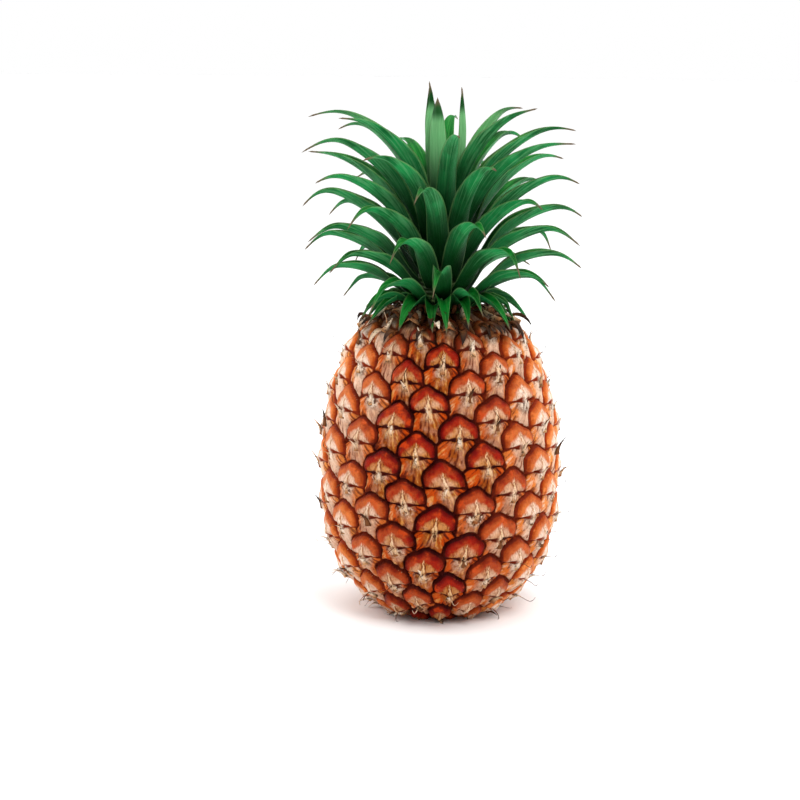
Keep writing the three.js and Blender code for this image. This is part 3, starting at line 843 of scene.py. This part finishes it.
def stalk_material():
    """Pale, moist wood, mottled, with brown bundles of fibre."""
    material, tree, shader, place = new_material("cut_stalk_fibre", WOOD_GLOSS)
    cells = add_node(tree, "ShaderNodeTexVoronoi", {"Vector": place, "Scale": FINE_GRAIN})
    from_bundle = cells.outputs["Distance"]
    mottle = grain(tree, place, 160)
    base = between(tree, ease(tree, mottle, 0.35, 0.65), STALK_WOOD)
    base = blend(tree, ease(tree, from_bundle, 0.28, 0.1), base, colour(*STALK_BUNDLES))
    rough = reckon(tree, "MULTIPLY_ADD", mottle, 0.2, 0.65)
    finish_material(tree, shader, base, rough, from_bundle, WOOD_RELIEF_METRES)
    return material


stalk_mesh = closed_mesh("stalk_stub", stalk_grid())
add_piece("stalk_stub", stalk_mesh, stalk_material(), "stalk", "cut_stalk")

# ---------------------------------------------------------------------------------------------
# The crown's stem. The CAD solid is right as it is: a smooth cone that the leaves clasp, so
# it only gets its finish, dull green with the closed rings of leaf scars.
# ---------------------------------------------------------------------------------------------

STEM_GREEN = ((40, 66, 24), (72, 98, 44))
STEM_RINGS = (30, 48, 18)
RING_RADIANS_PER_METRE = 3000.0


def stem_material():
    """Dull green with darker rings where leaves were, about two millimetres apart."""
    material, tree, shader, place = new_material("crown_stem_flesh", WOOD_GLOSS)
    height = add_node(tree, "ShaderNodeSeparateXYZ", {0: place}).outputs[2]
    mottle = grain(tree, place, 220)
    even_rings = times(tree, height, RING_RADIANS_PER_METRE)
    rings = reckon(tree, "SINE", reckon(tree, "MULTIPLY_ADD", mottle, 2.5, even_rings))
    base = between(tree, ease(tree, mottle, 0.35, 0.65), STEM_GREEN)
    base = blend(tree, ease(tree, rings, 0.6, 1.0), base, colour(*STEM_RINGS))
    rough = reckon(tree, "MULTIPLY_ADD", mottle, 0.2, 0.5)
    finish_material(tree, shader, base, rough, rings, WOOD_RELIEF_METRES)
    return material


bpy.data.objects["crown_stem"].data.materials.clear()
bpy.data.objects["crown_stem"].data.materials.append(stem_material())

# ---------------------------------------------------------------------------------------------
# The crown's leaves. 57 stiff, channelled leaves in one spiral, each on its own curve: the upper
# face is deep green, the underside paler and bluer, both are finely ribbed, and tips dry and droop.
# ---------------------------------------------------------------------------------------------

LEAF_COUNT = 57
LEAF_TURN = -137.5
FIRST_LEAF_TURN = 344.5
STEM_RADIUS = 12.5
STEM_HEIGHT = 44
ROOT_CLEARANCE = 1.1
ROOT_SHARES = (0.03, 0.97)
ROOT_CROWDING = 1.3
TIP_HEIGHTS = (-1, 114)
TIP_SCATTER = 2
CROWN_REACH = 68.4
CROWN_WAIST = 49.5
CROWN_SPANS = (53, 75.9)
CROWN_FULLNESSES = (3.1, 4.5)
HEART_AGES = (0.915, 0.945)
HEART_BULGE = 12
HEART_TIP_RADIUS = 5
HEART_SPREAD = 180
LEANS = (57, 7.5)
LEAN_EASE = 1.28
ARCHES = (0.8, 0.57)
CLASPS = (42, 62)
TURN_SCATTER = 2.2
SWEEP_SCATTER = 5
DROOP = 6
DROOP_SCATTER = 5.5
DROOP_START = 0.7
STIFF_AGES = (0.93, 0.99)
TIP_CURL = 1.5
TIP_CURL_SCATTER = 2
TIP_CURL_START = 0.8
LEAF_HALF_WIDTHS = [5.2, 6.3, 7.9, 8.8, 7.6, 6.5]
LEAF_WIDTH_AGES = [0, 0.15, 0.4, 0.75, 0.9, 1]
NECK_SHARE = 0.82
NECK_END = 0.25
TIP_HALF_WIDTH = 0.7
LEAF_THICKNESS = 0.8
LEAF_RIPPLE = 0.4
RIPPLE_RATE = 19
RIPPLE_START = (0.2, 0.5)
CHANNEL_START = (0.05, 0.45)
CHANNELS = (0.95, 0.35)
TAPERS = (1.7, 4.0)
LEAF_SEED = 8
LEAF_ROWS = 46
LEAF_COLUMNS = 15
STEM_SIDE_POINTS = 800


def mix(ends, share):
    """A share of the way from the first end to the second."""
    return ends[0] + (ends[1] - ends[0]) * share


def scatter(leaf, use):
    """A number between -1 and 1 that is always the same for one leaf and one use."""
    value = sin(leaf * 12.9898 + (LEAF_SEED + use) * 78.233) * 43758.5453
    return 2 * (value - np.floor(value)) - 1


stem_quarter = np.linspace(0, np.pi / 2, STEM_SIDE_POINTS // 4)
stem_heights = FRUIT_HEIGHT + STEM_HEIGHT * np.sin(stem_quarter)
stem_outline = np.stack([STEM_RADIUS * np.cos(stem_quarter), stem_heights], axis=1)
STEM_ARCS, STEM_SIDE = even_points(stem_outline, STEM_SIDE_POINTS)
STEM_SLOPES = np.gradient(STEM_SIDE, STEM_ARCS, axis=0)


def leaf_root(age):
    """Roots lie at even steps along the stem's side, just clear of it."""
    place = STEM_ARCS[-1] * mix(ROOT_SHARES, age**ROOT_CROWDING)
    point = np.array([np.interp(place, STEM_ARCS, STEM_SIDE[:, axis]) for axis in (0, 1)])
    slope = np.array([np.interp(place, STEM_ARCS, STEM_SLOPES[:, axis]) for axis in (0, 1)])
    return point + ROOT_CLEARANCE * np.array([slope[1], -slope[0]])


def leaf_tip(leaf, age):
    """Tips lie on one rounded curve round the crown, and the youngest stand close round the axis."""
    even_height = mix(TIP_HEIGHTS, age)
    above = int(even_height > CROWN_WAIST)
    share = min(abs(even_height - CROWN_WAIST) / CROWN_SPANS[above], 1)
    fullness = CROWN_FULLNESSES[above]
    reach = CROWN_REACH * (1 - share**fullness) ** (1 / fullness)
    upright = HEART_TIP_RADIUS + HEART_SPREAD * (1 - age)
    gathered = mix((reach, upright), smooth_step(age, *HEART_AGES))
    radius_scatter = TIP_SCATTER * min(1, 3 * (1 - age)) * scatter(leaf, 2)
    height_scatter = TIP_SCATTER * scatter(leaf, 3)
    return np.array([gathered + radius_scatter, FRUIT_HEIGHT + even_height + height_scatter])


def quadratic_rib(root, bend, tip, t):
    """One bend from the root to the tip."""
    return (1 - t) ** 2 * root + 2 * t * (1 - t) * bend + t**2 * tip


def blade_grid(rib, half_width, channel, facing, sweep, clasp, number, age):
    """A blade's points, with where they lie on it. Across it, c runs from 1 to -1 and back on the
    other face. It wraps round the axis by its half width over its radius, up to the clasp. Its
    margins rise by |c| ** 1.5 times the channel and ripple a little, its faces part by its
    thickness times 1 - c ** 2, and its tip turns aside by the sweep times t ** 2."""
    t = np.linspace(0, 1, len(rib))[:, None]
    slope = np.gradient(rib, axis=0)
    slope /= np.hypot(slope[:, :1], slope[:, 1:])
    radius, height = rib[:, :1], rib[:, 1:]
    half_turn = clasp * (1 - np.exp(-half_width / (np.maximum(radius, 0.5) * clasp)))
    columns = np.linspace(1, -1, LEAF_COLUMNS)
    around = np.concatenate([columns, columns[-2:0:-1]])[None, :]
    face = np.concatenate([np.ones(LEAF_COLUMNS), -np.ones(LEAF_COLUMNS - 2)])[None, :]
    face = face * (np.abs(around) < 1)
    ripple = LEAF_RIPPLE * np.sin(t * RIPPLE_RATE + 4 * number + around) * around**2
    ripple = ripple * smooth_step(t, *RIPPLE_START) * (1 - t)
    rise = channel * half_width * smooth_step(t, *CHANNEL_START) * np.abs(around) ** 1.5
    rise = rise + ripple + face * LEAF_THICKNESS * (1 - around**2) / 2
    azimuth = facing + sweep * t**2 + around * half_turn
    points = round_axis(radius - slope[:, 1:] * rise, azimuth, height + slope[:, :1] * rise)
    lengths = np.r_[0, np.cumsum(np.hypot(*np.diff(rib, axis=0).T))][:, None]
    place = np.stack(np.broadcast_arrays(around * half_width, lengths, face), axis=-1)
    look = np.stack(np.broadcast_arrays(t, np.full_like(t, age), around), axis=-1)

    def closed(grid):
        ends = grid[[0, -1]].mean(axis=1, keepdims=True).repeat(grid.shape[1], axis=1)
        return np.concatenate([ends[:1], grid[:-1], ends[1:]])

    return [closed(grid) for grid in (points, place, look)]


def leaf_grid(leaf):
    """A leaf's midrib is one quadratic bend, whose last part droops as its own share ** 2.4 and
    leans out as its share ** 2. Its half width shrinks as (1 - t ** p) ** 1.2, down to a thin dry
    tip, and p is higher in the heart. The neck above the root is a little narrower."""
    age = leaf / (LEAF_COUNT - 1)
    root, tip = leaf_root(age), leaf_tip(leaf, age)
    heart = smooth_step(age, *HEART_AGES)
    lean = radians(mix(LEANS, age**LEAN_EASE) + HEART_BULGE * heart)
    hold = mix(ARCHES, age) * np.hypot(*(tip - root))
    t = np.linspace(0, 1, LEAF_ROWS)[:, None]
    rib = quadratic_rib(root, root + hold * np.array([sin(lean), cos(lean)]), tip, t)
    droop = (DROOP + DROOP_SCATTER * scatter(leaf, 7)) * (1 - smooth_step(age, *STIFF_AGES))
    curl = TIP_CURL + TIP_CURL_SCATTER * scatter(leaf, 9)
    rib[:, 1] -= droop * (np.maximum(t[:, 0] - DROOP_START, 0) / (1 - DROOP_START)) ** 2.4
    rib[:, 0] += curl * (np.maximum(t[:, 0] - TIP_CURL_START, 0) / (1 - TIP_CURL_START)) ** 2
    full = np.interp(age, LEAF_WIDTH_AGES, LEAF_HALF_WIDTHS)
    neck = mix((NECK_SHARE, 1), np.minimum(t / NECK_END, 1))
    half_width = full * (1 - t ** mix(TAPERS, heart)) ** 1.2 * neck
    half_width = np.maximum(half_width, TIP_HALF_WIDTH * (1 - t) ** 0.5)
    facing = radians(FIRST_LEAF_TURN + LEAF_TURN * leaf + TURN_SCATTER * scatter(leaf, 0))
    sweep = radians(SWEEP_SCATTER * scatter(leaf, 5))
    clasp, channel = radians(mix(CLASPS, age**4)), mix(CHANNELS, heart)
    return blade_grid(rib, half_width, channel, facing, sweep, clasp, leaf, age)


# Colours of a leaf, from those of its darker patches or ribs to those of its paler ones.
UPPER_GREEN = ((0, 64, 16), (2, 116, 36))
UPPER_RIBS = (70, 160, 70)
UNDER_GREEN = ((0, 84, 34), (26, 140, 72))
UNDER_RIBS = (104, 178, 118)
UNDER_SPINE = (6, 66, 30)
YOUNG_GREEN = ((64, 150, 76), (160, 224, 160))
YOUNG_TIP = (4, 66, 18)
# The root's near black green is partly the leaf's own colour and partly painted shade of the crown's
# core.
ROOT_GREEN_AND_SHADE = (0, 50, 8)
MARGIN_GREEN = (140, 186, 112)
DRY_LEAF_TIP = (104, 88, 66)
YOUNG_AGES = (0.88, 0.96)
LEAF_GLOSS = 0.1
LEAF_RELIEF_METRES = 0.0005


def leaf_material():
    """Fibrous green: pale lengthwise ribs on both faces, a paler, bluer underside with a dark spine, a
    dark root that is partly its own colour and partly painted shade of the crown's core, a light line
    along each margin, and a brown dry tip. Young leaves are pale with dark tips."""
    material, tree, shader, place = new_material("crown_leaf", LEAF_GLOSS)
    across, along, face = parts_of(tree, "leaf_place")
    share, age, width_share = parts_of(tree, "leaf_look")
    chance = add_node(tree, "ShaderNodeObjectInfo", {}).outputs["Random"]
    rib_place = vector_of(tree, times(tree, across, 2.4), times(tree, along, 0.045), chance)
    ribs = grain(tree, rib_place, 1.0, 4, 0.6)
    patches = ease(tree, grain(tree, place, 60, 3), 0.35, 0.65)
    upper = between(tree, patches, UPPER_GREEN)
    upper_ribs = times(tree, ease(tree, ribs, 0.45, 0.7), 0.6)
    upper = blend(tree, upper_ribs, upper, colour(*UPPER_RIBS))
    under = between(tree, patches, UNDER_GREEN)
    under_ribs = times(tree, ease(tree, ribs, 0.42, 0.7), 0.6)
    under = blend(tree, under_ribs, under, colour(*UNDER_RIBS))
    off_middle = reckon(tree, "ABSOLUTE", width_share)
    spine = times(tree, ease(tree, off_middle, 0.3, 0.0), 0.45)
    under = blend(tree, spine, under, colour(*UNDER_SPINE))
    base = blend(tree, ease(tree, face, -0.3, 0.3), under, upper)
    young = ease(tree, age, *YOUNG_AGES)
    base = blend(tree, times(tree, young, 0.75), base, between(tree, ribs, YOUNG_GREEN))
    # The dark root: partly the leaf's own colour, partly painted shade deep in the crown.
    root = times(tree, ease(tree, share, 0.66, 0.14), 0.88)
    base = blend(tree, root, base, colour(*ROOT_GREEN_AND_SHADE))
    margin = times(tree, ease(tree, off_middle, 0.86, 0.98), 0.4)
    base = blend(tree, margin, base, colour(*MARGIN_GREEN))
    young_tip = times(tree, young, ease(tree, share, 0.76, 0.86))
    base = blend(tree, young_tip, base, colour(*YOUNG_TIP))
    dry_tip = ease(tree, reckon(tree, "MULTIPLY_ADD", ribs, 0.06, share), 0.92, 1.0)
    base = blend(tree, dry_tip, base, colour(*DRY_LEAF_TIP))
    rough = reckon(tree, "MULTIPLY_ADD", ease(tree, face, 0.3, -0.3), 0.14, 0.38)
    finish_material(tree, shader, base, rough, ribs, LEAF_RELIEF_METRES)
    return material


green = leaf_material()
for leaf in range(LEAF_COUNT):
    points, place, look = leaf_grid(leaf)
    attributes = {"leaf_place": place, "leaf_look": look}
    leaf_mesh = closed_mesh(f"crown_leaf_{leaf + 1:02d}", points, attributes)
    add_piece(leaf_mesh.name, leaf_mesh, green, "leaf", f"leaf_{leaf + 1:02d}")

# ---------------------------------------------------------------------------------------------
# The foot of the crown. Short green leaves droop over the fruit's shoulder, and between them stand
# small dry brown bracts. They grow from the seat, where the stem leaves the fruit.
# ---------------------------------------------------------------------------------------------

FOOT_LEAF_COUNT = 15
FOOT_LEAF_ROWS = 30
FIRST_FOOT_LEAF_TURN = 259
FOOT_LEAF_HALF_WIDTH = 6
FOOT_LEAF_WIDTH_SHARES = (0.7, 1.1)
FOOT_LEAF_TIP_HALF_WIDTH = 0.5
FOOT_LEAF_ROOT = np.array([13.4, 152.6])
FOOT_LEAF_CLIMB = np.array([0, 0.09])
FOOT_LEAF_TIP_RADII = (36, 46)
FOOT_LEAF_TIP_HEIGHTS = (141, 149)
FOOT_LEAF_BEND_RADII = (22, 30)
FOOT_LEAF_BEND_HEIGHTS = (162, 168)
FOOT_LEAF_SWEEPS = (-8, 8)
FOOT_LEAF_CLASP = 40
foot_chance = np.random.default_rng(23)


def foot_leaf_grid(number):
    """The same blade as a leaf's, on one quadratic bend: it is rooted on the seat, rises a little
    and hangs over the shoulder. Its half width shrinks as (1 - t ** 1.8) ** 1.1."""
    t = np.linspace(0, 1, FOOT_LEAF_ROWS)[:, None]
    tip_radius = foot_chance.uniform(*FOOT_LEAF_TIP_RADII)
    tip = np.array([tip_radius, foot_chance.uniform(*FOOT_LEAF_TIP_HEIGHTS)])
    bend_radius = foot_chance.uniform(*FOOT_LEAF_BEND_RADII)
    bend = np.array([bend_radius, foot_chance.uniform(*FOOT_LEAF_BEND_HEIGHTS)])
    rib = quadratic_rib(FOOT_LEAF_ROOT + FOOT_LEAF_CLIMB * number, bend, tip, t)
    full = FOOT_LEAF_HALF_WIDTH * foot_chance.uniform(*FOOT_LEAF_WIDTH_SHARES)
    half_width = np.maximum(full * (1 - t**1.8) ** 1.1, FOOT_LEAF_TIP_HALF_WIDTH * (1 - t))
    facing = radians(FIRST_FOOT_LEAF_TURN + LEAF_TURN * number)
    sweep = radians(foot_chance.uniform(*FOOT_LEAF_SWEEPS))
    clasp = radians(FOOT_LEAF_CLASP)
    return blade_grid(rib, half_width, CHANNELS[0], facing, sweep, clasp, number, 0)


for number in range(FOOT_LEAF_COUNT):
    points, place, look = foot_leaf_grid(number)
    attributes = {"leaf_place": place, "leaf_look": look}
    foot_mesh = closed_mesh(f"foot_leaf_{number + 1:02d}", points, attributes)
    add_piece(foot_mesh.name, foot_mesh, green, "leaf")

FOOT_BRACT_COUNT = 64
FOOT_BRACT_ROWS = 8
FOOT_BRACT_PLACES = (0.5, 26)
FOOT_BRACT_TURNS = (-9, 9)
FOOT_BRACT_LENGTHS = (6, 13)
FOOT_BRACT_STANDS = (2, 7)
FOOT_BRACT_CURLS = (-4, 4)
FOOT_BRACT_HALF_WIDTHS = (1.6, 3.0)
FOOT_BRACT_TIP_HALF_WIDTH = 0.1
FOOT_BRACT_START = 2
FOOT_BRACT_LIFT = 0.4
FOOT_BRACT_FOLD = 0.8
FOOT_BRACT_THICKNESS = 0.25
BROWN_FOOT_BRACT_SHARE = 0.8
bract_arcs = seat_arc - foot_chance.uniform(*FOOT_BRACT_PLACES, FOOT_BRACT_COUNT)
bract_turns = LEAF_TURN * np.arange(FOOT_BRACT_COUNT)
bract_azimuths = np.radians(bract_turns + foot_chance.uniform(*FOOT_BRACT_TURNS, FOOT_BRACT_COUNT))


def foot_bract_grids():
    """A bract's middle line leaves the skin as sin(2.2 t), runs down from the crown by t ** 1.4 of
    its length and curls to a side as t ** 2. Its half width is that of a lens, (1 - t) ** 0.7
    times 0.55 + 0.9 t, and its section is a flat diamond with its sides raised in a fold."""
    shape = (FOOT_BRACT_COUNT, 1, 1)
    t = np.linspace(0, 1, FOOT_BRACT_ROWS)[None, :, None]
    length = foot_chance.uniform(*FOOT_BRACT_LENGTHS, shape)
    stand = foot_chance.uniform(*FOOT_BRACT_STANDS, shape)
    curl = foot_chance.uniform(*FOOT_BRACT_CURLS, shape)
    half_width = foot_chance.uniform(*FOOT_BRACT_HALF_WIDTHS, shape) * (1 - t) ** 0.7 * (0.55 + 0.9 * t)
    half_width = half_width + FOOT_BRACT_TIP_HALF_WIDTH
    fold = FOOT_BRACT_FOLD * np.abs(DIAMOND_ACROSS) * half_width
    across = curl * t**2 + half_width * DIAMOND_ACROSS
    up = FOOT_BRACT_START - length * t**1.4
    out = FOOT_BRACT_LIFT + stand * np.sin(2.2 * t) + fold + FOOT_BRACT_THICKNESS * DIAMOND_OUT
    return np.stack(np.broadcast_arrays(across, up, out), axis=-1)


foot_middles, foot_out, foot_right, foot_up = skin_frames(bract_arcs, bract_azimuths)
foot_frames = np.stack([foot_right, foot_up, foot_out], axis=1)
foot_bracts = placed(foot_bract_grids(), foot_middles, foot_frames)
foot_bract_values = dry_values(*foot_bracts.shape[:3], BROWN_FOOT_BRACT_SHARE)
foot_bract_mesh = joined_mesh("foot_bracts", foot_bracts, "dry_place", foot_bract_values)
add_piece("foot_bracts", foot_bract_mesh, dry, "leaf")

# ---------------------------------------------------------------------------------------------
# The studio: a plain white floor, soft light from all round with a key light high in front on the
# right, two rim lights behind the flanks, and the camera a metre away, ten degrees above the
# horizon. Its sizes are in metres, and the powers of its lights in watts.
# ---------------------------------------------------------------------------------------------

CAMERA_HEIGHT_ANGLE = 10.18
CAMERA_ROLL = 0.63
CAMERA_DISTANCE = 1.0
CAMERA_TARGET = (0, 0, 0.1108)
LENS_LENGTH_MM = 90
SENSOR_WIDTH_MM = 36
LENS_SHIFT = (-0.0505, -0.0114)
FLOOR_RADIUS = 12.0
FLOOR_CORNERS = 96
FLOOR_WHITE = ((250, 250, 250), (255, 255, 255))
FLOOR_GLOSS = 0.1
FLOOR_RELIEF = 0.0001
HORIZON_LIGHT = 1.0
WALL_LIGHT = 0.3
CEILING_LIGHT = 1.85
HORIZON_BAND = (0.14, 0.06)
CEILING_BAND = (0.45, 0.95)


def floor_material():
    """Matte white with a faint mottle."""
    material, tree, shader, place = new_material("studio_floor", FLOOR_GLOSS)
    mottle = grain(tree, place, 3)
    rough = reckon(tree, "MULTIPLY_ADD", mottle, 0.05, 0.85)
    finish_material(tree, shader, between(tree, mottle, FLOOR_WHITE), rough, mottle, FLOOR_RELIEF)
    return material


floor_turns = np.linspace(0, 2 * np.pi, FLOOR_CORNERS, endpoint=False)
floor_ring = FLOOR_RADIUS * np.stack([np.cos(floor_turns), np.sin(floor_turns), 0 * floor_turns], axis=1)
floor_mesh = bpy.data.meshes.new("studio_floor")
floor_mesh.from_pydata(floor_ring, [], [list(range(FLOOR_CORNERS))])
studio_floor = bpy.data.objects.new("studio_floor", floor_mesh)
bpy.context.scene.collection.objects.link(studio_floor)
floor_mesh.materials.append(floor_material())


def add_softbox(name, place, aim, side_length, power):
    """A square soft light at a place, turned towards an aim."""
    light = bpy.data.lights.new(name, "AREA")
    light.size = side_length
    light.energy = power
    box = bpy.data.objects.new(name, light)
    bpy.context.scene.collection.objects.link(box)
    box.location = place
    direction = Vector(place) - Vector(aim)
    box.rotation_euler = direction.to_track_quat("Z", "Y").to_euler()


KEY_LIGHT = {"place": (0.5, -1.2, 1.6), "aim": (0, 0, 0.14), "side_length": 0.8, "power": 17}
LEFT_RIM = {"place": (-1.2, 0.5, 0.7), "aim": (0, 0, 0.12), "side_length": 0.7, "power": 9}
RIGHT_RIM = {"place": (1.3, 0.5, 0.9), "aim": (0, 0, 0.12), "side_length": 0.9, "power": 8}
add_softbox("key_light", **KEY_LIGHT)
add_softbox("left_rim_light", **LEFT_RIM)
add_softbox("right_rim_light", **RIGHT_RIM)

# The air's light depends on its height only: most from the ceiling, least from the walls.
world = bpy.data.worlds.new("studio_air")
world.use_nodes = True
air = world.node_tree
direction = add_node(air, "ShaderNodeTexCoord", {}).outputs["Generated"]
height = add_node(air, "ShaderNodeSeparateXYZ", {0: direction}).outputs[2]
by_horizon = ease(air, height, *HORIZON_BAND)
strength = reckon(air, "MULTIPLY_ADD", by_horizon, HORIZON_LIGHT - WALL_LIGHT, WALL_LIGHT)
by_ceiling = ease(air, height, *CEILING_BAND)
strength = reckon(air, "MULTIPLY_ADD", by_ceiling, CEILING_LIGHT - WALL_LIGHT, strength)
air.links.new(strength, air.nodes["Background"].inputs["Strength"])
air.nodes["Background"].inputs["Color"].default_value = (1, 1, 1, 1)
bpy.context.scene.world = world
bpy.context.scene.view_settings.view_transform = "Standard"

lens = bpy.data.cameras.new("camera")
lens.lens = LENS_LENGTH_MM
lens.sensor_width = SENSOR_WIDTH_MM
lens.shift_x, lens.shift_y = LENS_SHIFT
camera = bpy.data.objects.new("camera", lens)
bpy.context.scene.collection.objects.link(camera)
rise = radians(CAMERA_HEIGHT_ANGLE)
camera.location = (
    CAMERA_TARGET[0],
    CAMERA_TARGET[1] - CAMERA_DISTANCE * cos(rise),
    CAMERA_TARGET[2] + CAMERA_DISTANCE * sin(rise),
)
tilt = Matrix.Rotation(radians(90) - rise, 4, "X") @ Matrix.Rotation(radians(CAMERA_ROLL), 4, "Z")
camera.rotation_euler = tilt.to_euler()
bpy.context.scene.camera = camera
